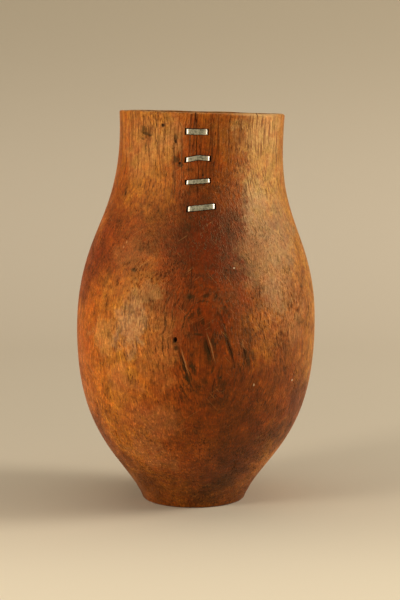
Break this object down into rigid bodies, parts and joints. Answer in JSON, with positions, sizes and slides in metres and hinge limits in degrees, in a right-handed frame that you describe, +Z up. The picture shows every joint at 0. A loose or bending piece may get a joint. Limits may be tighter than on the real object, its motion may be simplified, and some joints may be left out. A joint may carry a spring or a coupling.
{
  "type": "milk vessel",
  "caption": "Hand-carved wooden milk vessel with a full belly, a straight neck, an open mouth and a narrow flat foot, its cracked neck mended with metal strips.",
  "frame": {"origin": "centre of the flat foot, on the surface that the vessel stands on", "axes": "+Z up through the mouth; -Y towards the mended crack, which is the side that the picture shows; +X to that side's right, where the rim is lowest"},
  "size_m": [0.1494, 0.1494, 0.2448],
  "materials": {
    "oiled_wood": "hand-carved hardwood, worn smooth and darkened by fat and handling, satin",
    "dull_metal": "flat strip, hammered and tarnished"
  },
  "bodies": {
    "root": {"carved_body": "oiled_wood", "staple_1": "dull_metal", "staple_2": "dull_metal", "staple_3": "dull_metal", "staple_4": "dull_metal"}
  },
  "joints": []
}
